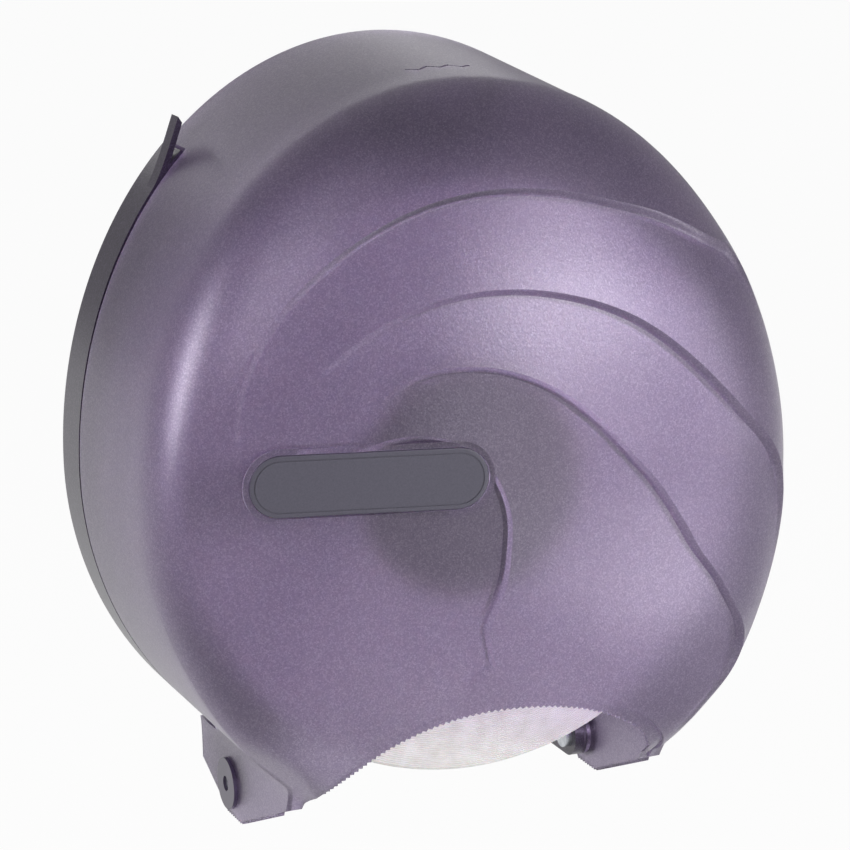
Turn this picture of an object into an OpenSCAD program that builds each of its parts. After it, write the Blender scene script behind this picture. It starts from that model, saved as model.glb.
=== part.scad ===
// Wall dispenser for one jumbo roll of toilet paper, millimetres.
// The origin is on the wall, in line with the spindle that carries the roll.
// +Y points into the wall, -Y to the user, +X to the user's right and +Z up.

/* [Shell] */
// Overall width of the shell
body_w = 260; // [250:1:290]
// Height of the shell above the spindle
top_h = 160; // [156:1:170]
// Height of the round belly below the spindle
belly_h = 136; // [132:1:142]
// Distance that the front stands off the wall
depth = 143; // [140:1:160]
// Distance of the crease between side wall and front from the wall
crease_y = 89; // [82:1:94]
// Wall thickness of the cover
cover_wall = 2.6; // [2.2:0.1:3]
// Squareness of the front's rounding at the top
round_top = 2.5; // [2.3:0.1:3]
// Squareness of the front's rounding at the sides
round_side = 3.3; // [3:0.1:3.8]
// Squareness of the front's rounding at the bottom
round_low = 4.4; // [3.6:0.1:5]
// Draft of the side wall at the sides, as a share of the half width
side_draft = 0.002; // [0.002:0.001:0.01]
// Draft of the side wall at the top, as a share of the height
top_draft = 0.043; // [0.03:0.001:0.06]

/* [Feet] */
// Half distance between the outer faces of the feet
foot_x = 78; // [76:1:82]
// Drop of the feet below the belly
foot_len = 7; // [6:1:10]
// Rise of the feet's front corners above the feet's lower edge
foot_rise = 18.5; // [17:0.5:21]
// Distance of the feet's front corners from the wall
foot_front_y = 95; // [90:1:100]
// Height of the paper arch above the feet's front corners
arch_h = 50; // [47:1:52]
// Half width of the paper arch at the feet's front corners
arch_half_w = 73; // [68:0.5:73.5]
// Height of the thin lip along the paper arch
lip_h = 3.2; // [2.4:0.2:4]
// Thickness of the thin lip along the paper arch
lip_t = 1.2; // [1:0.1:1.4]
// Number of tear teeth on half of the arch's lip
arch_teeth = 26; // [16:1:28]
// Pitch of the tear teeth under the feet
tooth_pitch = 3; // [2.5:0.5:4]
// Height of the tear teeth
tooth_h = 1.2; // [1:0.1:1.6]

/* [Swirl on the front] */
// Height of the outer swirl step
swirl_1_h = 3.2; // [1.5:0.1:4]
// Height of the second swirl step
swirl_2_h = 3.6; // [1.5:0.1:4.2]
// Height of the third swirl step
swirl_3_h = 3.6; // [1.5:0.1:4.2]
// Height of the inner curl
swirl_4_h = 3.0; // [1.5:0.1:3.6]
// Width of a step's riser
riser_w = 2.6; // [1.6:0.2:3.6]

/* [Label plate] */
// Length of the bare label plate
label_w = 90; // [84:1:92]
// Height of the bare label plate
label_h = 23; // [21:1:25]
// Thickness of the bare label plate
label_t = 1.4; // [1:0.1:2]

/* [Rear housing] */
// Thickness of the back plate
plate_t = 2.8; // [2.4:0.1:3.4]
// Depth of the skirt from the wall
skirt_d = 22; // [20:0.5:24]
// Gap between the skirt and the cover
shut_gap = 1.2; // [0.8:0.1:1.8]
// Distance between the wall screws across
screw_dx = 110; // [100:1:120]
// Distance between the wall screws up and down
screw_dz = 130; // [120:1:140]
// Radius of the wall screw holes
screw_hole_r = 2.6; // [2.2:0.1:3]

/* [Cover hinge] */
// Distance of the hinge axis from the wall
hinge_y = 37; // [34:1:40]
// Height of the hinge axis above the feet's lower edge
hinge_rise = 13; // [11:0.5:14]
// Radius of the hinge pins
hinge_pin_r = 3; // [2.5:0.1:3.5]
// Radius of the hinge bushes' round flange
hinge_flange_r = 10.4; // [9:0.1:11]
// Thickness of the housing's hinge ears
ear_t = 4; // [3.4:0.1:4.6]

/* [Paper roll] */
// Distance between a full roll and the shell's widest line
roll_room = 15.7; // [14:0.1:20]
// Width of the roll
roll_w = 89; // [85:1:90]
// Inner radius of the cardboard core
core_r = 43; // [43:0.1:45]
// Thickness of the cardboard core
core_t = 1.5; // [1:0.1:2]
// Distance of the roll's rear face from the wall
roll_back = 12.5; // [12:0.1:14]

/* [Spindle] */
// Radius of the hub drum
drum_r = 42; // [40:0.1:42.2]
// Wall of the hub drum
drum_wall = 2.5; // [2:0.1:3]
// Radius of the spindle axle
axle_r = 6; // [5:0.1:7]
// Radius of the spindle bracket's flange
bracket_r = 38; // [36:0.5:39]
// Thickness of the spindle bracket's flange
bracket_t = 4; // [3:0.1:4]
// Height of the housing's pad behind the bracket
pad_t = 3; // [2.5:0.1:3.2]
// Radius of the circle of bracket screws
bracket_screw_pcd_r = 29; // [26:0.5:30]
// Radius of the bracket screws
small_screw_r = 2; // [1.6:0.1:2.2]

/* [Latch] */
// Distance of the key slot from the wall
key_y = 76; // [74:1:78]
// Length of the key slot
key_w = 26; // [22:1:28]
// Half distance between the latch frame's side walls
frame_x = 18; // [17:0.5:20]
// Thickness of the latch frame
frame_t = 2; // [1.6:0.1:2.4]
// Distance of the latch pivot below the shell's top
pivot_low = 22; // [21:0.5:23]
// Distance of the latch pivot from the wall
pivot_y = 28; // [24:1:32]
// Radius of the latch pin
latch_pin_r = 2; // [1.6:0.1:2.4]
// Thickness of the latch lever
lever_t = 4; // [3.4:0.1:4.4]
// Depth of the hook behind the cover's catch
catch_bite = 5; // [3.5:0.5:6]

/* [Hidden] */
$fn = 64;
eps = 0.01;

// ---- The shell's outline and front, shared by the cover and the housing ----
half_w = body_w / 2;
foot_drop = belly_h + foot_len;
foot_front_drop = foot_drop - foot_rise;
eye = [-45, -20];          // the swirl's eye, which the cover's grid turns about
foot_reach = foot_drop + 14;   // the feet run on below their cut
blend_power = 30;          // fillet between belly and feet
sectors = 84;              // grid directions about the eye
skirt_end = 35;            // the skirt starts at this angle from straight up
skirt_low = belly_h - 37;  // drop of the skirt's lower end below the spindle
rim_y = plate_t + 0.7;     // distance of the cover's rear edge from the wall

function step01(t) = let (u = min(1, max(0, t))) u * u * (3 - 2 * u);

// Distance from c to an ellipse about the spindle, half heights zt up and zb down
function to_ellipse(c, dir, a, zt, zb) =
    let (t = hit_ellipse(c, dir, a, zt))
    c[1] + t * dir[1] >= 0 ? t : hit_ellipse(c, dir, a, zb);
function hit_ellipse(c, dir, a, b) =
    let (qa = pow(dir[0] / a, 2) + pow(dir[1] / b, 2),
         qb = 2 * (c[0] * dir[0] / (a * a) + c[1] * dir[1] / (b * b)),
         qc = pow(c[0] / a, 2) + pow(c[1] / b, 2) - 1)
    (-qb + sqrt(qb * qb - 4 * qa * qc)) / (2 * qa);

// Distance from c to the upright strip that holds both feet
function to_feet(c, dir, fx) =
    min(dir[0] > eps ? (fx - c[0]) / dir[0] : 1e4,
        dir[0] < -eps ? (-fx - c[0]) / dir[0] : 1e4,
        dir[1] < -eps ? (-foot_reach - c[1]) / dir[1] : 1e4,
        dir[1] > eps ? -c[1] / dir[1] : 1e4);

// The outline's point in the direction ang from c, moved in by inset
function outline(ang, inset, c = eye) =
    let (dir = [cos(ang), sin(ang)],
         e = to_ellipse(c, dir, half_w - inset, top_h - inset, belly_h - inset),
         f = c[1] < 0 || dir[1] < 0 ? to_feet(c, dir, foot_x - inset) : 0,
         k = pow(pow(e / 200, blend_power) + pow(f / 200, blend_power), 1 / blend_power) * 200)
    c + k * dir;
// The directions of the grid, closer together at the feet than at the top
crowding = 24;
function around(i) =
    let (t = 360 * (i + 0.5) / sectors,
         p = outline(-90 + t - crowding * sin(t), 0, [0, 0]) - eye)
    atan2(p[1], p[0]);
directions = [for (i = [0:sectors - 1]) around(i)];

// The crease's point in front of a point of the outline
function crease(edge) =
    [edge[0] * (1 - side_draft), edge[1] * (1 - top_draft * step01(edge[1] / 40))];

// Distance of the front from the wall at [x, z], for a shell moved in by inset
function front(p, inset) =
    let (zh = p[1] >= 0 ? (1 - top_draft) * top_h - inset : belly_h + 6 - inset,
         rho = norm([p[0] / ((1 - side_draft) * half_w - inset), p[1] / zh]),
         n = round_side + (round_top - round_side) * step01(p[1] / 120)
             + (round_low - round_side) * step01(-p[1] / 120),
         dome = pow(1 - pow(min(1, rho), n), 1 / n),
         run_out = 1 / (1 + pow(rho / 0.93, 9)),     // the feet run out of the dome
         on_foot = step01((-p[1] - 90) / 40))
    crease_y + (depth - inset - crease_y) * (dome + (run_out - dome) * on_foot);

// ---- The swirl: four steps that wind about the eye ----
// Each row is an angle about the eye, the step's place as a share of the way to the outline,
// and its height as a share of the full height.
swirl_4 = [[-180, 0.42, 0], [-120, 0.38, 0], [-62, 0.35, 0], [-32, 0.268, 0.75], [0, 0.238, 1],
           [25, 0.257, 1], [45, 0.268, 0.85], [72, 0.285, 0.6], [97, 0.325, 0.4], [129, 0.42, 0]];
swirl_3 = [[-180, 0.56, 0], [-120, 0.54, 0], [-65, 0.66, 0], [-40, 0.9, 0], [-27, 0.95, 0.3],
           [-18, 0.93, 0.8], [-10, 0.81, 1], [-1, 0.69, 1], [18, 0.565, 1], [32, 0.51, 0.9],
           [51, 0.462, 0.75], [68, 0.436, 0.55], [83, 0.427, 0.3], [96, 0.42, 0], [140, 0.52, 0]];
swirl_2 = [[-180, 0.7, 0], [-120, 0.7, 0], [-65, 0.8, 0], [-35, 0.972, 0], [-15, 0.972, 0],
           [-3, 0.966, 0.3], [8, 0.92, 0.9], [18, 0.83, 1], [28, 0.762, 1], [42, 0.692, 0.95],
           [57, 0.627, 0.8], [72, 0.586, 0.65], [88, 0.57, 0.45], [103, 0.578, 0.25],
           [116, 0.6, 0], [150, 0.63, 0]];
swirl_1 = [[-180, 0.82, 0], [-120, 0.84, 0], [-65, 0.91, 0], [-35, 0.993, 0], [-15, 0.992, 0],
           [8, 0.988, 0], [26, 0.98, 0.2], [36, 0.96, 0.8], [41, 0.92, 1], [48, 0.877, 1],
           [57, 0.828, 1], [72, 0.787, 0.9], [94, 0.767, 0.7], [117, 0.785, 0.5], [129, 0.78, 0.35],
           [137, 0.75, 0.25], [145, 0.695, 0.1], [155, 0.73, 0]];

// A smooth line through column col of rows, which close on themselves after a full turn
function knot(rows, i, col) =
    let (n = len(rows), j = (i % n + n) % n)
    rows[j][col] + (col == 0 ? 360 * floor(i / n) : 0);
function slope(rows, i, col) =
    (knot(rows, i + 1, col) - knot(rows, i - 1, col)) /
    (knot(rows, i + 1, 0) - knot(rows, i - 1, 0));
function segment(rows, ang, i = 0) =
    i + 1 < len(rows) && ang >= rows[i + 1][0] ? segment(rows, ang, i + 1) : i;
function through(rows, ang, col) =
    let (i = segment(rows, ang), a0 = knot(rows, i, 0), w = knot(rows, i + 1, 0) - a0,
         t = (ang - a0) / w, t2 = t * t, t3 = t2 * t)
    (2 * t3 - 3 * t2 + 1) * knot(rows, i, col) + (t3 - 2 * t2 + t) * w * slope(rows, i, col) +
    (3 * t2 - 2 * t3) * knot(rows, i + 1, col) + (t3 - t2) * w * slope(rows, i + 1, col);
function place(rows, ang) = through(rows, ang, 1);
function height(rows, ang, full) = full * min(1, max(0, through(rows, ang, 2)));

// The grid's stations along the direction ang: [share of the way out, height above the front]
fall = 1.4;       // how fast a step's height dies away towards the next one
fills = [[0.5], [0.25, 0.5, 0.75]];                                 // inner skin, outer skin
edge_fills = [[0.4, 0.75, 0.93, 1], [0.2, 0.45, 0.66, 0.82, 0.92, 0.98, 1]];
function stations(ang, fine) =
    let (reach = norm(outline(ang, 0) - eye), r = riser_w / reach,
         g = [for (s = [swirl_4, swirl_3, swirl_2, swirl_1]) place(s, ang)],
         h = [height(swirl_4, ang, swirl_4_h), height(swirl_3, ang, swirl_3_h),
              height(swirl_2, ang, swirl_2_h), height(swirl_1, ang, swirl_1_h)])
    concat([[g[0] * 0.5, 0]],
           [for (i = [0:2]) each [[g[i] - r, 0], [g[i], h[i]],
                                  for (t = fills[fine]) [g[i] + (g[i + 1] - r - g[i]) * t,
                                                         h[i] * pow(1 - t, fall)]]],
           [[g[3] - r, 0], [g[3], h[3]]],
           [for (u = edge_fills[fine]) [g[3] + (1 - g[3]) * u, h[3] * pow(1 - u, fall)]]);

// One skin of the cover, as rings of points from the eye out to the rim and back to back_y
function skin_point(ang, s, inset) =
    let (edge = outline(ang, inset),
         p = eye + (crease(edge) - eye) * s[0],
         hug = pow(min(1, norm([p[0] / half_w, p[1] / top_h])), 4),
         out = p / max(1, norm(p)),
         lift = s[1])
    [p[0] + out[0] * lift * hug * 0.7, -front(p, inset) - lift * (1 - 0.5 * hug),
     p[1] + out[1] * lift * hug * 0.7];
function side_point(ang, t, inset, back) =
    let (edge = outline(ang, inset), c = crease(edge), p = c + (edge - c) * t,
         y0 = front(c, inset), y1 = back ? -4 : rim_y)
    [p[0], -(y0 + (y1 - y0) * t), p[1]];
module skin(inset, back) {
    fine = inset < 1 ? 1 : 0;
    columns = [for (a = directions) concat([for (s = stations(a, fine)) skin_point(a, s, inset)],
                                     [for (t = [0.5, 1]) side_point(a, t, inset, back)])];
    m = len(columns[0]);
    pole = [eye[0], -front(eye, inset), eye[1]];
    hole = [eye[0], back ? 4 : -plate_t, eye[1]];
    points = concat([pole, hole], [for (c = columns) each c]);
    function id(i, j) = 2 + (i % sectors) * m + j;
    faces = concat(
        [for (i = [0:sectors - 1]) [0, id(i + 1, 0), id(i, 0)]],
        [for (i = [0:sectors - 1], j = [0:m - 2]) each
            [[id(i, j), id(i + 1, j + 1), id(i, j + 1)], [id(i, j), id(i + 1, j), id(i + 1, j + 1)]]],
        [for (i = [0:sectors - 1]) [1, id(i, m - 1), id(i + 1, m - 1)]]);
    polyhedron(points, faces, convexity = 8);
}

// ---- Places that follow from the sizes above ----
label_mid = [eye[0] - 10.3, 14.8];
label_turn = -5;           // the plate follows the front's curve
label_tilt = -2.3;
label_y = 2.6 - depth;
hinge_z = hinge_rise - foot_drop;
ear_x = foot_x - cover_wall - 3 - ear_t;     // inner face of a hinge ear
catch_y = key_y + 6;       // rear face of the catch that hangs from the cover
catch_t = 2.4;
catch_low = top_h - 17;
pivot_z = top_h - pivot_low;
frame_low = pivot_z - 13;  // lower edge of the latch frame
roll_r = min(half_w - roll_room, frame_low - 8);
lever_z = pivot_z - lever_t / 2;
hook_y = catch_y + catch_t + 0.8;

module label_shape(grow) {
    r = label_h / 2 + grow;
    square([label_w - label_h, 2 * r], center = true);
    for (s = [-1, 1]) translate([s * (label_w - label_h) / 2, 0]) circle(r);
}
// Puts a flat shape on the label's plane, with its back at the plane
module on_label() {
    translate([label_mid[0], label_y, label_mid[1]]) rotate([0, 0, label_turn])
        rotate([90, 0, 0]) rotate([0, 0, label_tilt]) children();
}

// The zigzag of the key slot, as a strip of even width
module key_zigzag(w) {
    n = 6;
    pts = [for (i = [0:n]) [(i / n - 0.5) * key_w, i % 2 == 0 ? -1.8 : 1.8]];
    polygon(concat([for (p = pts) p + [0, w / 2]], [for (i = [n:-1:0]) pts[i] - [0, w / 2]]));
}

// The cover's lower edge seen from the side, with n teeth between two points
function teeth(from, to) =
    let (run = to - from, n = max(1, round(norm(run) / tooth_pitch)),
         down = [run[1], -run[0]] / norm(run) * (run[0] < 0 ? -1 : 1))
    [for (i = [0:n - 1]) each [from + run * i / n, from + run * (i + 0.5) / n + down * tooth_h]];
foot_slant = [-5, 13 - foot_drop];   // the feet's slanted rear edge starts here
foot_level_y = 50;      // the feet's edge is level up to here, then it rises
module under_feet() {
    low = -foot_drop + tooth_h;
    a = [foot_slant[0] - (foot_slant[1] - low) / 0.43, low];
    b = [-foot_level_y, low];
    c = [-foot_front_y, -foot_front_drop + tooth_h];
    d = c + (c - b);
    rotate([90, 0, 90]) translate([0, 0, -200]) linear_extrude(400)
        polygon(concat([[20, foot_slant[1] + 10]], [foot_slant], teeth(a, b), teeth(b, c),
                       [c, d, [-300, d[1]], [-300, -300], [20, -300]]));
}

// The paper arch seen from the front: a full half ellipse above the feet's front corners
arch_fullness = 0.85;
function arch_point(ang, shrink) =
    [(arch_half_w - shrink) * sin(ang), (arch_h - shrink) * pow(cos(ang), arch_fullness)
     - foot_front_drop];
module arch_hole(shrink, toothed) {
    n = toothed ? 2 * arch_teeth : 37;
    w = arch_half_w - shrink;
    rotate([90, 0, 0]) translate([0, 0, -20]) linear_extrude(260)
        polygon(concat([for (i = [-n:n])
                            arch_point(90 * i / n, shrink + (toothed && abs(i) % 2 == 1 && abs(i) < n - 9
                                                    ? tooth_h : 0))],
                       [[w, -300], [-w, -300]]));
}

// The round boss that carries a hinge bush, with ribs to the foot's wall
module foot_boss(s) {
    inner = foot_x - cover_wall - 1.6;
    mirror([s > 0 ? 0 : 1, 0, 0]) translate([inner, -hinge_y, hinge_z]) rotate([0, 90, 0]) {
        cylinder(r = boss_r, h = foot_x + 0.02 - inner);
        for (a = [90, 145, 215, 270]) rotate([0, 0, a]) hull() {
            translate([boss_r - 1, -0.7, 0]) cube([1, 1.4, 3]);
            translate([boss_r + 7, -0.7, 2]) cube([1, 1.4, 1]);
        }
    }
}

module front_cover() color("#5d4a6e") {
    difference() {
        union() {
            difference() {
                union() {
                    skin(0, false);
                    on_label() linear_extrude(1.2) label_shape(2.4);
                }
                difference() {
                    skin(cover_wall, true);
                    on_label() translate([0, 0, -4.5]) linear_extrude(5) label_shape(2.4);
                    translate([-10, -catch_y - catch_t, catch_low]) cube([20, catch_t, top_h]);
                }
                arch_hole(0, false);
            }
            // the thin lip stands in from the arch's edge
            intersection() {
                difference() {
                    skin(cover_wall - lip_t, false);
                    skin(cover_wall, true);
                }
                arch_hole(-0.8, false);
                translate([-100, -depth, 0.7 - foot_front_drop]) cube([200, depth, foot_front_drop]);
            }
            for (s = [-1, 1]) foot_boss(s);
        }
        under_feet();
        arch_hole(lip_h, true);
        // steps back from the housing's skirt and the hinge bushes' flanges
        flat_to_wall() linear_extrude(skirt_d + shut_gap)
            beside(skirt_low + 13, shut_gap) square(600, center = true);
        for (s = [-1, 1]) translate([s * (foot_x + 5.02), -hinge_y, hinge_z]) rotate([0, 90, 0])
            cylinder(r = hinge_flange_r + 0.4, h = 10, center = true);
        // seats for the label plate, the key and the hinge bushes
        on_label() translate([0, 0, -0.4]) linear_extrude(5) label_shape(0.3);
        translate([0, -key_y, 100]) linear_extrude(80) key_zigzag(1.6);
        translate([0, -hinge_y, hinge_z]) rotate([0, 90, 0])
            cylinder(r = bush_r + 0.02, h = 300, center = true);
    }
}

module label_plate() color("#3c3a46")
    on_label() translate([0, 0, -0.4]) linear_extrude(label_t) label_shape(0);

// ---- Rear housing ----
plate_inset = cover_wall + 1.4;
module outline_shape(inset) {
    polygon([for (a = directions) outline(a, inset)]);
}
module plate_shape() {
    difference() {
        union() {
            intersection() {
                outline_shape(plate_inset);
                translate([-300, 27 - foot_drop]) square(600);
            }
            translate([-ear_x - ear_t, -foot_drop + 2])
                square([2 * (ear_x + ear_t), foot_drop]);
        }
        wall_arch();
    }
}
// The part of a flat shape beside the roll, from the skirt's start down to low
module beside(low, grow = 0) {
    intersection() {
        children();
        for (s = [-1, 1]) translate([-s * grow, grow])
            polygon([[0, 0], 400 * [s * sin(skirt_end), cos(skirt_end)], [s * 400, 0],
                     [s * 400, -low - grow], [s * 60, -low - grow]]);
    }
}
// The left skirt's upper end curls away from the cover, as a finger grip
tail_turn = 9.5;           // turn of the curl about the spindle, in degrees
tail_reach = 9.5;          // reach of its tip beyond the outline
tail_d = 8;                // depth of the curl
module skirt_tail() {
    function edge(u, inset) =
        outline(90 + skirt_end + 7 - tail_turn * u, inset - tail_reach * pow(u, 1.6), [0, 0]);
    polygon(concat([for (i = [0:6]) edge(i / 6, 0)], [for (i = [6:-1:0]) edge(i / 6, plate_t)]));
}
wall_arch_r = foot_x + 5;
module wall_arch() translate([0, 25 - foot_drop - wall_arch_r]) circle(wall_arch_r, $fn = 96);
module flat_to_wall() { rotate([90, 0, 0]) children(); }

module rear_housing() color("#51456a") {
    difference() {
        union() {
            flat_to_wall() linear_extrude(plate_t) plate_shape();
            flat_to_wall() linear_extrude(plate_t) beside(skirt_low) outline_shape(0);
            flat_to_wall() linear_extrude(skirt_d) beside(skirt_low) difference() {
                outline_shape(0);
                outline_shape(plate_t);
            }
            translate([0, tail_d - skirt_d, 0]) flat_to_wall() linear_extrude(tail_d) skirt_tail();
            translate([0, -plate_t + eps, 0]) flat_to_wall() cylinder(r = bracket_r + 3, h = pad_t);
            for (s = [-1, 1]) hinge_ear(s);
            for (x = [-1, 1], z = [-1, 1]) translate([x * screw_dx / 2, 0, z * screw_dz / 2])
                flat_to_wall() cylinder(r = screw_hole_r + 4, h = plate_t + 1.6);
        }
        for (x = [-1, 1], z = [-1, 1]) translate([x * screw_dx / 2, 0, z * screw_dz / 2])
            flat_to_wall() cylinder(r = screw_hole_r, h = 30, center = true, $fn = 32);
        for (a = [45:90:315]) rotate([0, a, 0])
            translate([bracket_screw_pcd_r, -plate_t - pad_t - 1, 0])
                rotate([-90, 0, 0]) cylinder(r = small_screw_r + 0.05, h = pad_t + 3, $fn = 32);
        for (s = [-1, 1]) translate([s * frame_screw_x, -plate_t - 1, frame_screw_z])
            rotate([-90, 0, 0]) cylinder(r = small_screw_r + 0.05, h = 3.4, $fn = 32);
        translate([0, -hinge_y, hinge_z]) rotate([0, 90, 0])
            cylinder(r = hinge_pin_r + 0.02, h = 2 * foot_x, center = true, $fn = 48);
    }
}
module hinge_ear(s) {
    x0 = s > 0 ? ear_x : -ear_x - ear_t;
    translate([x0, -hinge_y, hinge_z]) rotate([0, 90, 0]) cylinder(r = 9, h = ear_t);
    translate([x0, -hinge_y, hinge_z - 9]) cube([ear_t, hinge_y - eps, 18]);
    translate([x0, -12, hinge_z - 8]) cube([ear_t, 12 - eps, 34]);
}

// ---- Hinge: a fixed pin in each ear and a flanged bush in each foot ----
bush_r = hinge_pin_r + 2.5;
boss_r = hinge_flange_r - 1.5;
bush_t = cover_wall + 1.4;
module hinge_pin(s) color("silver")
    mirror([s > 0 ? 0 : 1, 0, 0]) translate([0, -hinge_y, hinge_z]) rotate([0, 90, 0]) {
        translate([0, 0, ear_x - 2.5]) cylinder(r = hinge_pin_r + 2.4, h = 2.5);
        translate([0, 0, ear_x - eps]) cylinder(r = hinge_pin_r, h = foot_x - ear_x + 0.6, $fn = 48);
    }
module hinge_bush(s) color("#2b2733")
    mirror([s > 0 ? 0 : 1, 0, 0]) translate([foot_x, -hinge_y, hinge_z]) rotate([0, 90, 0])
        difference() {
            union() {
                translate([0, 0, -bush_t]) cylinder(r = bush_r, h = bush_t + 1, $fn = 48);
                translate([0, 0, 0.05]) cylinder(r = hinge_flange_r, h = 1.6);
            }
            translate([0, 0, -20]) cylinder(r = hinge_pin_r + 0.06, h = 40, $fn = 48);
        }

// ---- Spindle and hub ----
flange_back = plate_t + pad_t;
flange_front = flange_back + bracket_t;
boss_front = roll_back + 5;
drum_back = roll_back + 1;
drum_front = roll_back + roll_w;
web_t = 3;
web_front = drum_front - 9;
bush_back = boss_front + 1.6;
bush_front = web_front + 0.5;
module along_spindle(from, to, r, fn = 64)
    translate([0, -from, 0]) flat_to_wall() cylinder(r = r, h = to - from, $fn = fn);
module spindle_bracket() color("#8d9096") difference() {
    union() {
        along_spindle(flange_back, flange_front, bracket_r);
        along_spindle(flange_back, boss_front, axle_r + 8);
        for (a = [0:90:270]) rotate([0, a, 0]) translate([axle_r + 4, -flange_front - 4, -1.5])
            cube([bracket_r - axle_r - 10, 4.5, 3]);
    }
    along_spindle(flange_back + 1.5, boss_front + 1, axle_r + 0.02);
    for (a = [45:90:315]) rotate([0, a, 0]) translate([bracket_screw_pcd_r, -flange_front - 1, 0])
        rotate([-90, 0, 0]) cylinder(r = small_screw_r + 0.2, h = bracket_t + 2, $fn = 32);
}
module pan_screw(len, fn = 32) {
    rotate([-90, 0, 0]) {
        difference() {
            translate([0, 0, -2.2]) cylinder(r1 = 3.2, r2 = 4, h = 2.2, $fn = fn);
            translate([0, 0, -3]) for (a = [0, 90]) rotate([0, 0, a])
                translate([-2.2, -0.5, 0]) cube([4.4, 1, 2]);
        }
        cylinder(r = small_screw_r, h = len, $fn = fn);
    }
}
module bracket_screws() color("silver")
    for (a = [45:90:315]) rotate([0, a, 0]) translate([bracket_screw_pcd_r, -flange_front, 0])
        pan_screw(bracket_t + pad_t + 1.2);
module spindle_axle() color("silver") difference() {
    along_spindle(flange_back + 1.6, web_front + 6, axle_r);
    difference() {
        along_spindle(clip_back - 0.1, clip_back + clip_t + 0.1, axle_r + 1);
        along_spindle(clip_back - 1, clip_back + clip_t + 1, axle_r - 0.8);
    }
}
clip_t = 1.2;
clip_back = bush_front + 1;
module thrust_washer() color("#e8e4da") difference() {
    along_spindle(boss_front + 0.1, bush_back - 0.2, axle_r + 5);
    along_spindle(boss_front - 1, bush_back + 1, axle_r + 0.2);
}
module axle_clip() color("#33353a") difference() {
    along_spindle(clip_back, clip_back + clip_t, axle_r + 2.6);
    along_spindle(clip_back - 1, clip_back + clip_t + 1, axle_r - 0.75);
    translate([0, -clip_back - clip_t - 1, -axle_r - 4]) cube([6, 4, 8], center = true);
    translate([-3, -clip_back - clip_t - 1, -axle_r - 4]) cube([6, clip_t + 2, axle_r + 0.6]);
}
module hub_drum() color("#26242c") difference() {
    union() {
        difference() {
            along_spindle(drum_back, drum_front, drum_r);
            along_spindle(drum_back - 1, drum_front + 1, drum_r - drum_wall);
        }
        along_spindle(web_front - web_t, web_front, drum_r - drum_wall + eps);
        along_spindle(bush_back, web_front, axle_r + 6);
        for (a = [0:60:300]) rotate([0, a, 0])
            translate([axle_r + 5, -web_front + eps, -1]) cube([drum_r - axle_r - 6, 45, 2]);
    }
    along_spindle(bush_back - 1, web_front + 1, bush_wall_r + 0.01);
}
bush_wall_r = axle_r + 2.2;
module hub_bush() color("#e8e4da") difference() {
    along_spindle(bush_back, bush_front, bush_wall_r);
    along_spindle(bush_back - 1, bush_front + 1, axle_r + 0.06);
}
module hub_cap() color("#2c2a33") {
    lip_r = drum_r - drum_wall - 0.05;
    difference() {
        union() {
            along_spindle(drum_front, drum_front + 3, drum_r);
            along_spindle(drum_front - 6, drum_front + 1, lip_r);
        }
        along_spindle(drum_front - 7, drum_front, lip_r - 2);
        translate([0, -drum_front - 3.4, 0]) flat_to_wall() cylinder(r = 16, h = 2, center = true);
    }
}
module roll_core() color("#a98a63") difference() {
    along_spindle(roll_back, drum_front, core_r + core_t, 96);
    along_spindle(roll_back - 1, drum_front + 1, core_r, 96);
}
module paper_roll() color("#f4f3ef") difference() {
    along_spindle(roll_back, drum_front, roll_r, 128);
    along_spindle(roll_back - 1, drum_front + 1, core_r + core_t, 96);
}

// ---- Latch: a frame on the housing, a sprung lever and its pin ----
frame_screw_x = frame_x + frame_t + 4.5;
frame_screw_z = pivot_z - 2;
frame_front = catch_y + 3;
floor_front = pivot_y + 30;
module latch_frame() color("#3a3744") difference() {
    union() {
        translate([-frame_x - frame_t - 9, -plate_t - frame_t, frame_low])
            cube([2 * (frame_x + frame_t + 9), frame_t, 20]);
        for (s = [-1, 1]) translate([s > 0 ? frame_x : -frame_x - frame_t, 0, 0]) {
            translate([0, -frame_front, frame_low + 6]) cube([frame_t, frame_front - plate_t, 15]);
            translate([0, -floor_front, frame_low]) cube([frame_t, floor_front - plate_t, 8]);
        }
        translate([-frame_x - eps, -floor_front, frame_low])
            cube([2 * (frame_x + eps), floor_front - plate_t, frame_t]);
        translate([0, -spring_y, frame_low + frame_t - eps]) cylinder(r = 2, h = 2.5, $fn = 32);
    }
    translate([0, -pivot_y, pivot_z]) rotate([0, 90, 0])
        cylinder(r = latch_pin_r + 0.02, h = 100, center = true, $fn = 32);
    for (s = [-1, 1]) translate([s * frame_screw_x, -plate_t - frame_t - 1, frame_screw_z])
        rotate([-90, 0, 0]) cylinder(r = small_screw_r + 0.2, h = 5, $fn = 32);
}
module frame_screws() color("silver")
    for (s = [-1, 1]) translate([s * frame_screw_x, -plate_t - frame_t, frame_screw_z])
        pan_screw(frame_t + 2);
module latch_pin() color("silver")
    translate([0, -pivot_y, pivot_z]) rotate([0, 90, 0]) {
        translate([0, 0, -frame_x - frame_t - 1]) cylinder(r = latch_pin_r, h = 2 * (frame_x + frame_t) + 1.2, $fn = 32);
        translate([0, 0, frame_x + frame_t + 0.1]) cylinder(r = latch_pin_r + 1.6, h = 1.6, $fn = 32);
    }
lever_w = 2 * frame_x - 3;
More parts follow.
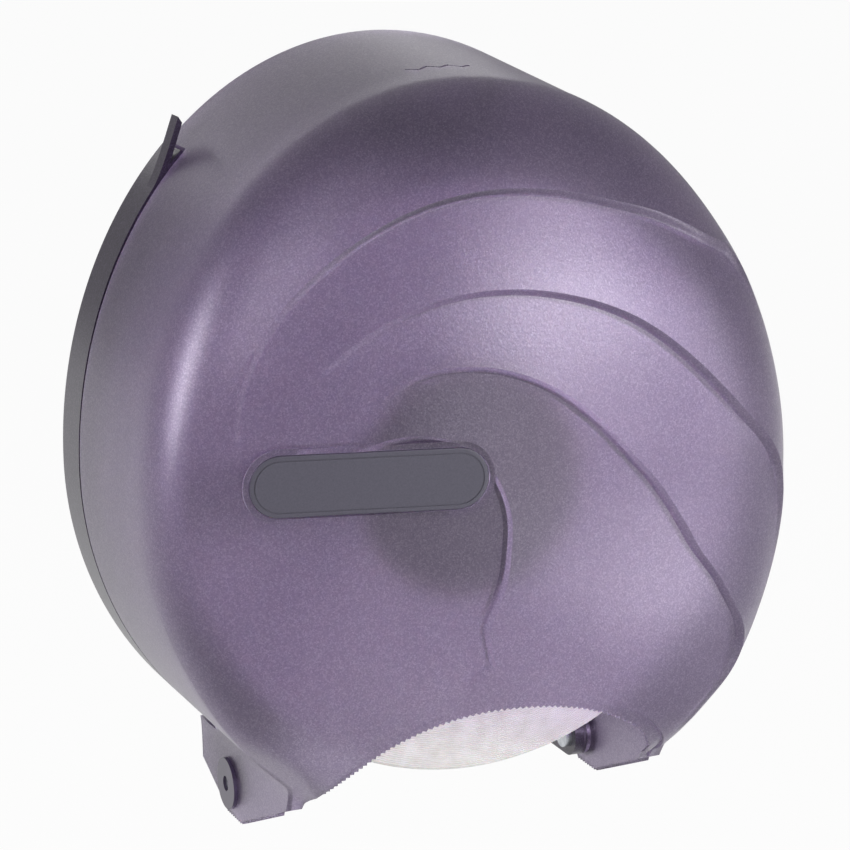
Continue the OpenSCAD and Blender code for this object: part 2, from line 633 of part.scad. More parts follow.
module latch_lever() color("#4a4754") difference() {
    union() {
        translate([-lever_w / 2, -hook_y - 4, lever_z]) cube([lever_w, hook_y + 4 - pivot_y, lever_t]);
        translate([-lever_w / 2, -pivot_y, pivot_z]) rotate([0, 90, 0])
            cylinder(r = latch_pin_r + 2.6, h = lever_w, $fn = 48);
        // the hook stands in front of the cover's catch, with a ramp on its nose
        translate([-8, 0, 0]) rotate([90, 0, 90]) linear_extrude(16)
            polygon([[-hook_y, lever_z], [-hook_y, catch_low + catch_bite],
                     [-hook_y - 1.5, catch_low + catch_bite], [-hook_y - 4, lever_z + lever_t]]);
    }
    translate([0, -pivot_y, pivot_z]) rotate([0, 90, 0])
        cylinder(r = latch_pin_r + 0.06, h = 60, center = true, $fn = 32);
}
// A compression spring as one unbroken tube
spring_y = pivot_y + 20;
spring_r = 3.4;
spring_wire_r = 0.5;
spring_turns = 5;
module latch_spring() color("silver") {
    low = frame_low + frame_t + spring_wire_r + 0.1;
    high = lever_z - spring_wire_r - 0.1;
    per = 16;
    n = spring_turns * per;
    sides = 6;
    pts = [for (i = [0:n]) let (a = 360 * i / per, z = low + (high - low) * i / n)
           for (k = [0:sides - 1]) let (b = 360 * k / sides, r = spring_r + spring_wire_r * cos(b))
           [r * cos(a), -spring_y + r * sin(a), z + spring_wire_r * sin(b)]];
    faces = concat([[for (k = [0:sides - 1]) k]],
        [for (i = [0:n - 1], k = [0:sides - 1]) let (a = i * sides + k, b = i * sides + (k + 1) % sides)
         each [[a, a + sides, b + sides], [a, b + sides, b]]],
        [[for (k = [sides - 1:-1:0]) n * sides + k]]);
    polyhedron(pts, faces, convexity = 10);
}

rear_housing();
front_cover();
label_plate();
hinge_pin(-1);  // hinge_pin_left
hinge_pin(1);  // hinge_pin_right
hinge_bush(-1);  // hinge_bush_left
hinge_bush(1);  // hinge_bush_right
spindle_bracket();
bracket_screws();
spindle_axle();
thrust_washer();
axle_clip();
hub_drum();
hub_bush();
hub_cap();
roll_core();
paper_roll();
latch_frame();
frame_screws();
latch_lever();
latch_pin();
latch_spring();
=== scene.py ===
import bpy, math
import numpy as np
from mathutils import Matrix, Vector


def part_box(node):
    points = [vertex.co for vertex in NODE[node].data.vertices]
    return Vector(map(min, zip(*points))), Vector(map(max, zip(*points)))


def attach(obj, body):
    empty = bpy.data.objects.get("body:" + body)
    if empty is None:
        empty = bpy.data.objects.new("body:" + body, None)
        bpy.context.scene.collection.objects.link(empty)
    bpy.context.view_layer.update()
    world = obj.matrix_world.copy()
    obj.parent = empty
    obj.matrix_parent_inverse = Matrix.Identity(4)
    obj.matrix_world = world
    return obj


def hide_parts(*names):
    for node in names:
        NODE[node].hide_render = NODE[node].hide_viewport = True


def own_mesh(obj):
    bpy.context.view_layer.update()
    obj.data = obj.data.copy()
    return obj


# A wall dispenser for a jumbo roll of toilet paper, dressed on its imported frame.
# Metres; the origin is on the wall, in line with the spindle. -Y faces the user.
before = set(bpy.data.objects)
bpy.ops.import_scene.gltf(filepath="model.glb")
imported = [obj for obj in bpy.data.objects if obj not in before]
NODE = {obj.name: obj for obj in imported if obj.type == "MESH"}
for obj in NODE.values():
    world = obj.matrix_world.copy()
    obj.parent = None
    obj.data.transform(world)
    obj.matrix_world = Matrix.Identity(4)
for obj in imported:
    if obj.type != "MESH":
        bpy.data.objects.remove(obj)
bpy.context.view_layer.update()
MM = 0.001


# ---------------------------------------------------------------- small helpers
def linear(code):
    """An sRGB hex colour as linear RGBA."""
    out = []
    for i in (1, 3, 5):
        c = int(code[i:i + 2], 16) / 255
        out.append(c / 12.92 if c <= 0.04045 else ((c + 0.055) / 1.055) ** 2.4)
    return (*out, 1)


def add(mat, kind, settings=None, links=None):
    """Adds a node to a material, with its settings and what feeds its inputs."""
    n = mat.node_tree.nodes.new(kind)
    for k, v in (settings or {}).items():
        if isinstance(k, str) and hasattr(n, k):
            setattr(n, k, v)
        else:
            n.inputs[k].default_value = v
    for k, v in (links or {}).items():
        mat.node_tree.links.new(v, n.inputs[k])
    return n


def material(name, **surface):
    """A new material, its Principled shader and the Object coordinates."""
    m = bpy.data.materials.new(name)
    m.use_nodes = True
    p = m.node_tree.nodes["Principled BSDF"]
    for k, v in surface.items():
        p.inputs[k.replace("_", " ")].default_value = v
    at = add(m, "ShaderNodeTexCoord").outputs["Object"]
    return m, p, at


def feed(mat, source, socket):
    """Links what a node gives to another's input."""
    mat.node_tree.links.new(source, socket)


def ramp(mat, fac, stops):
    """Colours by a value, from stops of (position, hex colour)."""
    scale = add(mat, "ShaderNodeValToRGB", links={"Fac": fac})
    stop = scale.color_ramp.elements
    for i, (pos, code) in enumerate(stops):
        s = stop[i] if i < 2 else stop.new(pos)
        s.position, s.color = pos, linear(code)
    return scale.outputs["Color"]


def dress(obj, mat):
    """Gives the object one material and hands it back."""
    obj.data.materials.clear()
    obj.data.materials.append(mat)
    return obj


def only(obj):
    """Deselects everything else and makes obj the active object."""
    if bpy.context.object and bpy.context.object.mode != "OBJECT":
        bpy.ops.object.mode_set(mode="OBJECT")
    bpy.ops.object.select_all(action="DESELECT")
    obj.select_set(True)
    bpy.context.view_layer.objects.active = obj
    return obj


def place(obj):
    """Puts the object's place, turn and scale into its mesh."""
    only(obj)
    bpy.ops.object.transform_apply(location=True, rotation=True, scale=True)
    return obj


def modify(obj, kind, **settings):
    """Adds a modifier and applies it."""
    only(obj)
    m = obj.modifiers.new(kind.lower(), kind)
    for k, v in settings.items():
        setattr(m, k, v)
    bpy.ops.object.modifier_apply(modifier=m.name)
    return obj


def smooth(obj, degrees):
    """Smooth shading, with the edges that are sharper than this left crisp."""
    only(obj)
    bpy.ops.object.shade_smooth_by_angle(angle=math.radians(degrees))
    return obj


def cut(obj, tool, how="DIFFERENCE"):
    """Cuts, joins or keeps what obj shares with a tool, which is then gone."""
    modify(obj, "BOOLEAN", operation=how, object=tool, solver="MANIFOLD")
    bpy.data.objects.remove(tool)
    return obj


def from_points(name, points, faces):
    """A mesh from points in millimetres."""
    me = bpy.data.meshes.new(name)
    me.from_pydata((np.asarray(points, float) * MM).tolist(), [], faces)
    o = bpy.data.objects.new(name, me)
    bpy.context.scene.collection.objects.link(o)
    return o


def out_facing(obj):
    """Joins points that coincide and turns every face outwards."""
    only(obj)
    bpy.ops.object.mode_set(mode="EDIT")
    bpy.ops.mesh.select_all(action="SELECT")
    bpy.ops.mesh.remove_doubles(threshold=1e-7)
    bpy.ops.mesh.normals_make_consistent(inside=False)
    bpy.ops.object.mode_set(mode="OBJECT")
    return obj


def prism(name, flat, axis, low, high):
    """A flat outline, in millimetres, drawn out along an axis from low to high.

    Axis 0 is X, with [y, z] points, 1 is Y, with [x, z] as seen from the front, and 2 is Z, with [x, y]."""
    pts = [list(p[:axis]) + [low] + list(p[axis:]) for p in map(list, flat)]
    o = from_points(name, pts, [list(range(len(pts)))])
    only(o)
    bpy.ops.object.mode_set(mode="EDIT")
    bpy.ops.mesh.select_all(action="SELECT")
    way = [0.0, 0.0, 0.0]
    way[axis] = (high - low) * MM
    bpy.ops.mesh.extrude_region_move(TRANSFORM_OT_translate={"value": way})
    bpy.ops.object.mode_set(mode="OBJECT")
    return out_facing(o)


def rod(name, r, low, high, axis="Y", at=(0, 0, 0), sides=96):
    """A round bar between two places along an axis, in millimetres."""
    along, turn = {"X": (0, (0, math.pi / 2, 0)), "Y": (1, (math.pi / 2, 0, 0)), "Z": (2, (0, 0, 0))}[axis]
    where = list(at)
    where[along] += (low + high) / 2
    bpy.ops.object.select_all(action="DESELECT")
    bpy.ops.mesh.primitive_cylinder_add(vertices=sides, radius=r * MM, depth=abs(high - low) * MM,
                                        location=[c * MM for c in where], rotation=turn)
    o = bpy.context.object
    o.name = name
    return place(o)


# ---------------------------------------------------------------- the shell's form
# The same sizes as the part's source, in millimetres and degrees, on a finer grid.
HALF_W, TOP_H, BELLY_H, DEPTH, CREASE_Y, WALL = 130.0, 160.0, 136.0, 143.0, 89.0, 2.6
ROUND_TOP, ROUND_SIDE, ROUND_LOW, SIDE_DRAFT, TOP_DRAFT = 2.5, 3.3, 4.4, 0.002, 0.043
FOOT_X, FOOT_DROP, FRONT_DROP, FRONT_Y = 78.0, 143.0, 124.5, 95.0
HINGE_Y, HINGE_Z = 37.0, -130.0
FAR = 300.0                                          # past every side of the object
FACET = 24                                           # edges sharper than this stay crisp

# the cover's rear edge, and its hollow's, which runs on into the wall
COVER_BACK, HOLLOW_BACK = 3.5, -4
# the paper arch, and how far to and fro its tools reach
ARCH_H, ARCH_HALF, ARCH_FULLNESS, ARCH_CUT = 50.0, 73.0, 0.85, (20, -240)
# the lip: its height and thickness, how far it runs up into the cover, where it ends above the front
# edge, and how far its teeth are moved across
LIP_H, LIP_T, LIP_ROOT, LIP_END, LIP_ACROSS = 3.2, 1.2, 0.8, 0.7, -2.4
# the tear teeth: height, pitch below the feet, half their count in the arch and rows left plain
TOOTH_H, TOOTH_PITCH, ARCH_TEETH, PLAIN_ENDS = 1.2, 2.2, 44, 15
# the catch inside the top, which the latch's hook holds
CATCH_LOW, CATCH_HALF, CATCH_BACK, CATCH_FRONT = TOP_H - 17, 10, -82, -84.4
# below the feet: where the slope behind starts and how steep it is, and where the flat ends
HEEL_Y, HEEL_RISE, HEEL_SLOPE, FLAT_Y = -5, 13, 0.43, -50
# on the hinge line: the inner boss, the seat of the bush's flange and the bush's hole
BOSS_R, BOSS_LONG, SEAT_R, SEAT_LONG, BUSH_R, PROUD = 8.9, 4.2, 10.8, 10, 5.52, 0.02
# the zigzag key slot on the top
SLOT_W, SLOT_Y, SLOT_SWING, SLOT_HALF, SLOT_BENDS, SLOT_CUT = 26, -76, 1.8, 0.8, 6, (100, 180)

# the label's plate, its place on the front, and the raised rim and seat that it lies in
LABEL_W, LABEL_H = 90, 23
LABEL_AT, LABEL_Y, LABEL_TURN, LABEL_TILT = (-55.3, 14.8), DEPTH - 2.6, math.radians(-5), math.radians(-2.3)
RIM_W, RIM_H, SEAT_GAP, SEAT_LOW, BEHIND_SEAT = 2.4, 1.2, 0.3, -0.4, -4.5

# the wall plate, inside the cover's wall, and its lower ends at the paper and at the feet
PLATE_T, PLATE_GAP, PLATE_LOW, FEET_LOW, FEET_TOP = 2.8, 1.4, -115.92, -141, 2
# the side skirts, from an angle beside the top down to the feet, and the cover's room around them
SKIRT_D, SKIRT_START, SKIRT_LOW, SKIRT_IN, WEDGE_FAR = 22.0, 35.0, 99.0, 60, 400
GAP, SKIRT_STEP = 1.2, 13
# the left skirt's finger grip: how far it starts past the skirt, turns back and curls out
TAIL_PAST, TAIL_TURN, TAIL_OUT, TAIL_CURL, TAIL_LONG = 7, 9.5, 9.5, 1.6, 8
# the hinge ears, their roots on the plate and the pin's hole
EAR_X, EAR_T, EAR_R, PIN_R = FOOT_X - WALL - 3, 4, 9, 3.02
ROOT_Y, ROOT_LOW, ROOT_HIGH, INTO_PLATE = -12, 8, 26, -0.01
# the round gap that the paper hangs through
PAPER_GAP_RISE, PAPER_GAP_MORE = 20, 5
# the bracket's pad and the screws into it, into the wall and into the latch frame
PAD_R, PAD_Y, BRACKET_HOLE_R, BRACKET_RING = 41, (-1, -5.79), 2.05, 29
WALL_SCREWS, WALL_BOSS_R, WALL_HOLE_R = (55, 65), 6.6, 2.6
FRAME_SCREWS = (24.5, 136)

# the swirl: four steps about an eye, each a riser and then a long fall to the next one's foot
EYE = np.array([-45.0, -20.0])
RISER_W, FALL = 2.8, 1.4
# for each, its full height and given rows of [degrees about the eye, share of the way out to the
# shell's outline, share of the full height]
SWIRLS = [
    (3.0, [[-180, 0.42, 0], [-120, 0.4, 0], [-66, 0.37, 0], [-52, 0.31, 0.5], [-32, 0.268, 0.9],
           [0, 0.245, 1], [25, 0.257, 1], [45, 0.268, 0.85], [72, 0.285, 0.6], [97, 0.325, 0.4],
           [129, 0.42, 0]]),
    (3.6, [[-180, 0.56, 0], [-120, 0.54, 0], [-65, 0.66, 0], [-40, 0.9, 0], [-27, 0.95, 0.3],
           [-18, 0.93, 0.8], [-10, 0.81, 1], [-1, 0.69, 1], [18, 0.565, 1], [32, 0.51, 0.9],
           [51, 0.462, 0.75], [68, 0.436, 0.55], [83, 0.427, 0.3], [96, 0.42, 0], [140, 0.52, 0]]),
    (3.6, [[-180, 0.7, 0], [-120, 0.7, 0], [-65, 0.8, 0], [-35, 0.972, 0], [-15, 0.972, 0],
           [-3, 0.966, 0.3], [8, 0.92, 0.9], [18, 0.83, 1], [28, 0.762, 1], [42, 0.692, 0.95],
           [57, 0.627, 0.8], [72, 0.586, 0.65], [88, 0.57, 0.45], [103, 0.578, 0.25],
           [116, 0.6, 0], [150, 0.63, 0]]),
    (3.2, [[-180, 0.82, 0], [-120, 0.84, 0], [-65, 0.91, 0], [-35, 0.993, 0], [-15, 0.992, 0],
           [8, 0.988, 0], [26, 0.98, 0.2], [36, 0.96, 0.8], [41, 0.92, 1], [48, 0.877, 1],
           [57, 0.828, 1], [72, 0.787, 0.9], [94, 0.767, 0.7], [117, 0.785, 0.5], [129, 0.78, 0.35],
           [137, 0.75, 0.25], [145, 0.695, 0.1], [155, 0.73, 0]]),
]


def ease(t):
    """From 0 to 1 with a level start and end."""
    u = np.clip(t, 0, 1)
    return u * u * (3 - 2 * u)


def hit_ellipse(c, d, a, b):
    """How far it is from c in the directions d to an ellipse with half axes a and b."""
    qa = (d[0] / a) ** 2 + (d[1] / b) ** 2
    qb = 2 * (c[0] * d[0] / a ** 2 + c[1] * d[1] / b ** 2)
    qc = (c[0] / a) ** 2 + (c[1] / b) ** 2 - 1
    return (-qb + np.sqrt(qb * qb - 4 * qa * qc)) / (2 * qa)


def outline(ang, inset, c=EYE):
    """Points of the shell's outline in the directions ang from c, moved in by inset."""
    d = np.array([np.cos(ang), np.sin(ang)])
    up = hit_ellipse(c, d, HALF_W - inset, TOP_H - inset)
    down = hit_ellipse(c, d, HALF_W - inset, BELLY_H - inset)
    body = np.where(c[1] + up * d[1] >= 0, up, down)
    # the way to a box as wide as the feet, which ends below them
    fx, reach, far, flat = FOOT_X - inset, FOOT_DROP + 14, 1e4, 1e-4
    across, below, above = np.abs(d[0]) > flat, d[1] < -flat, d[1] > flat
    side = np.where(across, (np.sign(d[0]) * fx - c[0]) / np.where(across, d[0], 1), far)
    fall = np.where(below, (-reach - c[1]) / np.where(below, d[1], -1), far)
    rise = np.where(above, -c[1] / np.where(above, d[1], 1), far)
    feet = np.minimum(side, np.minimum(fall, rise))
    if c[1] >= 0:
        feet = np.where(d[1] < 0, feet, 0)
    # the further of the two, filleted by a high power
    unit, power = 200, 30
    k = ((body / unit) ** power + (feet / unit) ** power) ** (1 / power) * unit
    return (c[:, None] + k * d).T


def directions(n):
    """Directions from the swirl's eye, closer together at the feet than at the top."""
    t = 2 * np.pi * (np.arange(n) + 0.5) / n
    p = outline(-np.pi / 2 + t - np.radians(24) * np.sin(t), 0, np.zeros(2)) - EYE
    return np.arctan2(p[:, 1], p[:, 0])


def crease(edge):
    """The crease's points in front of points of the outline."""
    return np.stack([edge[..., 0] * (1 - SIDE_DRAFT),
                     edge[..., 1] * (1 - TOP_DRAFT * ease(edge[..., 1] / 40))], -1)


def front(p, inset):
    """Distance of the front from the wall at [x, z]."""
    z = p[..., 1]
    zh = np.where(z >= 0, (1 - TOP_DRAFT) * TOP_H - inset, BELLY_H + 6 - inset)
    rho = np.hypot(p[..., 0] / ((1 - SIDE_DRAFT) * HALF_W - inset), z / zh)
    n = ROUND_SIDE + (ROUND_TOP - ROUND_SIDE) * ease(z / 120) + (ROUND_LOW - ROUND_SIDE) * ease(-z / 120)
    dome = (1 - np.minimum(1, rho) ** n) ** (1 / n)
    run_out = 1 / (1 + (rho / 0.93) ** 9)
    # the feet take over below the belly, and first along the dome's rim
    on_foot = np.maximum(ease((-z - 90) / 40), ease((rho - 0.9) / 0.1) * ease((-z - 80) / 20))
    dome = dome + (run_out - dome) * on_foot
    return CREASE_Y + (DEPTH - inset - CREASE_Y) * dome


def through(rows, ang, col):
    """A smooth closed line through a column of rows, at angles in degrees."""
    r = np.array(rows, float)
    x = np.concatenate([r[-2:, 0] - 360, r[:, 0], r[:3, 0] + 360])
    y = np.concatenate([r[-2:, col], r[:, col], r[:3, col]])
    m = np.zeros_like(y)
    m[1:-1] = (y[2:] - y[:-2]) / (x[2:] - x[:-2])
    i = np.clip(np.searchsorted(x, ang, side="right") - 1, 1, len(x) - 3)
    w = x[i + 1] - x[i]
    t = (ang - x[i]) / w
    return ((2 * t ** 3 - 3 * t ** 2 + 1) * y[i] + (t ** 3 - 2 * t ** 2 + t) * w * m[i]
            + (3 * t ** 2 - 2 * t ** 3) * y[i + 1] + (t ** 3 - t ** 2) * w * m[i + 1])


def stations(ang, fills, riser, last):
    """Shares of the way out and heights above the front, for each direction.

    Fills, riser and last say how many rows of points each fall, each riser and the last fall get."""
    deg = np.degrees(ang)
    reach = np.hypot(*(outline(ang, 0) - EYE).T)
    run = RISER_W / reach
    crest = [through(rows, deg, 1) for _, rows in SWIRLS]
    height = [full * np.clip(through(rows, deg, 2), 0, 1) for full, rows in SWIRLS]
    share, lift = [], []
    for t in np.linspace(0, 1, 8, endpoint=False)[1:]:
        share.append((crest[0] - run) * t)
        lift.append(0 * run)
    for i in range(4):
        # the riser, rounded at its foot and its crest, then the long fall to the next foot
        for t in np.linspace(0, 1, riser, endpoint=False):
            share.append(crest[i] - run + run * t)
            lift.append(height[i] * (0.6 * t + 0.4 * ease(t)))
        # the last fall ends on the outline, with its rows closer together there
        if i < 3:
            end, ways = crest[i + 1] - run, np.linspace(0, 1, fills[i], endpoint=False)
        else:
            end, ways = 1 + 0 * run, 1 - (1 - np.linspace(0, 1, last)) ** 1.8
        for t in ways:
            share.append(crest[i] + (end - crest[i]) * t)
            lift.append(height[i] * (1 - t) ** FALL)
    return np.array(share).T, np.array(lift).T


def skin(name, inset, back_y, n, fills, riser, last):
    """One closed skin of the shell, from the eye out to its rear edge at back_y."""
    ang = directions(n)
    ang = ang[np.argsort(ang)]
    share, lift = stations(ang, fills, riser, last)
    edge = outline(ang, inset)
    c = crease(edge)
    p = EYE + (c[:, None] - EYE) * share[..., None]
    # a step stands forward in the middle, and partly outwards near the outline
    hug = np.minimum(1, np.hypot(p[..., 0] / HALF_W, p[..., 1] / TOP_H)) ** 4
    out = p / np.maximum(1, np.hypot(p[..., 0], p[..., 1]))[..., None]
    grid = np.stack([p[..., 0] + out[..., 0] * lift * hug * 0.7,
                     -front(p, inset) - lift * (1 - 0.5 * hug),
                     p[..., 1] + out[..., 1] * lift * hug * 0.7], -1)
    y0 = -front(c, inset)
    side = [np.stack([c[:, 0] + (edge - c)[:, 0] * t, y0 + (-back_y - y0) * t,
                      c[:, 1] + (edge - c)[:, 1] * t], -1) for t in (0.12, 0.3, 0.5, 0.75, 1)]
    grid = np.concatenate([grid, np.stack(side, 1)], 1)
    m = grid.shape[1]
    pts = [[EYE[0], float(-front(EYE, inset)), EYE[1]], [0, -back_y, 0]] + grid.reshape(-1, 3).tolist()
    at = lambda i, j: 2 + (i % n) * m + j
    faces = [[0, at(i, 0), at(i + 1, 0)] for i in range(n)]
    faces += [[at(i, j), at(i, j + 1), at(i + 1, j + 1), at(i + 1, j)]
              for i in range(n) for j in range(m - 1)]
    faces += [[1, at(i + 1, m - 1), at(i, m - 1)] for i in range(n)]
    return from_points(name, pts, faces)


# ---------------------------------------------------------------- the cover
def between_teeth(a, b):
    """Tear teeth along a straight edge seen from the side, pointing down."""
    a, b = np.array(a), np.array(b)
    run = b - a
    n = max(1, round(np.hypot(*run) / TOOTH_PITCH))
    down = np.array([run[1], -run[0]]) / np.hypot(*run) * (-1 if run[0] < 0 else 1)
    out = []
    for i in range(n):
        out += [a + run * i / n, a + run * (i + 0.5) / n + down * TOOTH_H]
    return out


def arch(shrink, teeth=0, across=0.0):
    """The paper arch seen from the front, with tear teeth along it if asked for, moved across."""
    n = teeth * 2 or 60
    w, rise = ARCH_HALF - shrink, ARCH_H - shrink
    pts = []
    for i in range(-n, n + 1):
        more = TOOTH_H * 0.8 if teeth and i % 2 and abs(i) < n - PLAIN_ENDS else 0
        a = math.radians(90 * i / n)
        pts.append([across + (w - more) * math.sin(a),
                    (rise - more) * max(0, math.cos(a)) ** ARCH_FULLNESS - FRONT_DROP])
    return pts + [[across + w, -FAR], [across - w, -FAR]]


def stadium(w, h, n=24):
    """A bar w long and h high with round ends, about the origin."""
    r, half = h / 2, (w - h) / 2
    pts = []
    for s in (1, -1):
        for i in range(n + 1):
            a = math.pi * (i / n - 0.5) + (0 if s > 0 else math.pi)
            pts.append([s * half + r * math.cos(a), r * math.sin(a)])
    return pts


def block(x0, z0, x1, z1):
    """A rectangle between two corners."""
    return [[x0, z0], [x1, z0], [x1, z1], [x0, z1]]


def at_hinge(name, r, ends, sides=96):
    """A round bar on the cover's hinge line."""
    return rod(name, r, *sorted(ends), axis="X", at=(0, -HINGE_Y, HINGE_Z), sides=sides)


def label_prism(name, grow, low, high):
    """A stadium on the label's plane, from low to high above it."""
    o = prism(name, stadium(LABEL_W + 2 * grow, LABEL_H + 2 * grow), 1, -low, -high)
    o.rotation_euler = (0, -LABEL_TILT, LABEL_TURN)
    o.location = (LABEL_AT[0] * MM, -LABEL_Y * MM, LABEL_AT[1] * MM)
    return place(o)


def beside(low):
    """A wedge to the right of the middle, from the skirt's start down to low below the spindle."""
    a = math.radians(SKIRT_START)
    return [[0, 0], [WEDGE_FAR * math.sin(a), WEDGE_FAR * math.cos(a)], [WEDGE_FAR, 0], [WEDGE_FAR, -low],
            [SKIRT_IN, -low]]


def front_cover():
    """The swirled shell: hollowed, arched, toothed, seated on its bushes and slotted for the key."""
    fine = dict(fills=(10, 9, 9), riser=7, last=26)
    rough = dict(fills=(5, 5, 5), riser=4, last=14)
    cover = skin("cover_shell", 0, COVER_BACK, 560, **fine)
    cut(cover, label_prism("label_rim", RIM_W, 0, RIM_H), "UNION")
    hollow = skin("cover_hollow", WALL, HOLLOW_BACK, 300, **rough)
    # the hollow leaves room for the label's rear wall and for the catch that the latch holds
    cut(hollow, label_prism("label_floor", RIM_W, BEHIND_SEAT, 0.5))
    cut(hollow, prism("catch", block(-CATCH_HALF, CATCH_LOW, CATCH_HALF, TOP_H), 1, CATCH_BACK, CATCH_FRONT))
    cut(cover, hollow)
    cut(cover, prism("arch", arch(0), 1, *ARCH_CUT))
    # the thin toothed lip stands in from the arch's edge
    lip = skin("lip", WALL - LIP_T, COVER_BACK, 300, **rough)
    cut(lip, skin("lip_hollow", WALL, HOLLOW_BACK, 300, **rough))
    cut(lip, prism("lip_band", arch(-LIP_ROOT), 1, *ARCH_CUT), "INTERSECT")
    cut(lip, prism("lip_end", block(-100, LIP_END - FRONT_DROP, 100, 0), 1, 0, -DEPTH), "INTERSECT")
    cut(lip, prism("teeth", arch(LIP_H, ARCH_TEETH, LIP_ACROSS), 1, *ARCH_CUT))
    cut(cover, lip, "UNION")
    for s in (-1, 1):
        cut(cover, at_hinge("boss", BOSS_R, (s * (FOOT_X - BOSS_LONG), s * (FOOT_X + PROUD)), 64), "UNION")
    # below the feet, seen from the side: a slope behind, a flat and a rise to the front, both toothed
    low = -FOOT_DROP + TOOTH_H
    heel = [HEEL_Y, HEEL_RISE - FOOT_DROP]
    flat = [HEEL_Y - (heel[1] - low) / HEEL_SLOPE, low], [FLAT_Y, low]
    toe = [-FRONT_Y, -FRONT_DROP + TOOTH_H]
    past = [2 * toe[0] - FLAT_Y, 2 * toe[1] - low]
    edge = [[20, heel[1] + 10], heel] + between_teeth(*flat) + between_teeth(flat[1], toe)
    edge += [toe, past, [-FAR, past[1]], [-FAR, -FAR], [20, -FAR]]
    cut(cover, prism("under", edge, 0, -200, 200))
    # the step back over the housing's skirt
    for s in (-1, 1):
        wedge = [[s * (x - GAP), z + GAP] for x, z in beside(SKIRT_LOW + SKIRT_STEP + GAP)]
        cut(cover, prism("skirt_step", wedge, 1, 5, -SKIRT_D - GAP))
        cut(cover, at_hinge("bush_seat", SEAT_R, (s * (FOOT_X + PROUD), s * (FOOT_X + SEAT_LONG)), 64))
    cut(cover, at_hinge("bush_hole", BUSH_R, (-150, 150), 64))
    cut(cover, label_prism("label_seat", SEAT_GAP, SEAT_LOW, 5))
    zig = [[(i / SLOT_BENDS - 0.5) * SLOT_W, SLOT_Y - (SLOT_SWING if i % 2 else -SLOT_SWING)]
           for i in range(SLOT_BENDS + 1)]
    slot = [[x, y + SLOT_HALF] for x, y in zig] + [[x, y - SLOT_HALF] for x, y in reversed(zig)]
    cut(cover, prism("key_slot", slot, 2, *SLOT_CUT))
    cover.name = cover.data.name = "cover_shell"
    return smooth(cover, FACET)


# ---------------------------------------------------------------- the other new pieces
def label_plate():
    """The bare plate: a satin stadium with a fine groove along its edge."""
    plate = label_prism("label_blank", 0, SEAT_LOW, 1.0)
    modify(plate, "BEVEL", width=0.35 * MM, segments=3, limit_method="ANGLE", angle_limit=math.radians(60))
    # the groove is 0.5 mm wide and 0.25 mm deep
    ring = label_prism("groove", -1.7, 0.75, 2)
    cut(ring, label_prism("groove_island", -2.2, 0, 3))
    cut(plate, ring)
    plate.name = "label_blank"
    return smooth(plate, 40)


def skirt_tail():
    """The left skirt's upper end, which curls away from the cover as a finger grip."""
    u = np.linspace(0, 1, 21)
    way = np.radians(90 + SKIRT_START + TAIL_PAST - TAIL_TURN * u)
    outer, inner = ([outline(way[k:k + 1], inset - TAIL_OUT * u[k] ** TAIL_CURL, np.zeros(2))[0].tolist()
                     for k in range(21)] for inset in (0, PLATE_T))
    return outer + inner[::-1]


def rear_housing():
    """The wall plate with its side skirts, hinge ears, screw bosses and bracket pad."""
    way = directions(420)
    house = prism("housing", outline(way, WALL + PLATE_GAP), 1, 0, -PLATE_T)
    cut(house, prism("low_end", block(-FAR, PLATE_LOW, FAR, FAR), 1, 9, -9), "INTERSECT")
    cut(house, prism("feet", block(-EAR_X, FEET_LOW, EAR_X, FEET_TOP), 1, 0, -PLATE_T), "UNION")
    for s in (-1, 1):
        side = prism("skirt", outline(way, 0), 1, 0, -SKIRT_D)
        cut(side, prism("skirt_hollow", outline(way, PLATE_T), 1, -PLATE_T, -40))
        wedge = [[s * x, z] for x, z in beside(SKIRT_LOW)]
        cut(side, prism("beside", wedge, 1, 9, -60), "INTERSECT")
        cut(house, side, "UNION")
        ear = sorted((s * (EAR_X - EAR_T), s * EAR_X))
        cut(house, at_hinge("ear", EAR_R, ear), "UNION")
        web = block(-HINGE_Y, HINGE_Z - EAR_R, INTO_PLATE, HINGE_Z + EAR_R)
        cut(house, prism("ear_web", web, 0, *ear), "UNION")
        root = block(ROOT_Y, HINGE_Z - ROOT_LOW, INTO_PLATE, HINGE_Z + ROOT_HIGH)
        cut(house, prism("ear_root", root, 0, *ear), "UNION")
    cut(house, prism("tail", skirt_tail(), 1, TAIL_LONG - SKIRT_D, -SKIRT_D), "UNION")
    cut(house, rod("paper_gap", FOOT_X + PAPER_GAP_MORE, 5, -8,
                   at=(0, 0, PAPER_GAP_RISE - FOOT_DROP - FOOT_X), sides=192))
    cut(house, rod("pad", PAD_R, *PAD_Y), "UNION")
    # bosses and holes for the screws into the wall, into the bracket and into the latch frame
    for x in (-WALL_SCREWS[0], WALL_SCREWS[0]):
        for z in (-WALL_SCREWS[1], WALL_SCREWS[1]):
            cut(house, rod("boss", WALL_BOSS_R, 0, -4.4, at=(x, 0, z), sides=64), "UNION")
            cut(house, rod("hole", WALL_HOLE_R, 9, -9, at=(x, 0, z), sides=48))
    for k in range(4):
        a = math.radians(45 + 90 * k)
        where = (BRACKET_RING * math.cos(a), 0, BRACKET_RING * math.sin(a))
        cut(house, rod("hole", BRACKET_HOLE_R, -0.8, -9, at=where, sides=32))
    for x in (-FRAME_SCREWS[0], FRAME_SCREWS[0]):
        cut(house, rod("hole", BRACKET_HOLE_R, -0.4, -9, at=(x, 0, FRAME_SCREWS[1]), sides=32))
    cut(house, at_hinge("pin_hole", PIN_R, (-90, 90), 48))
    house.name = "housing_shell"
    return smooth(house, FACET)


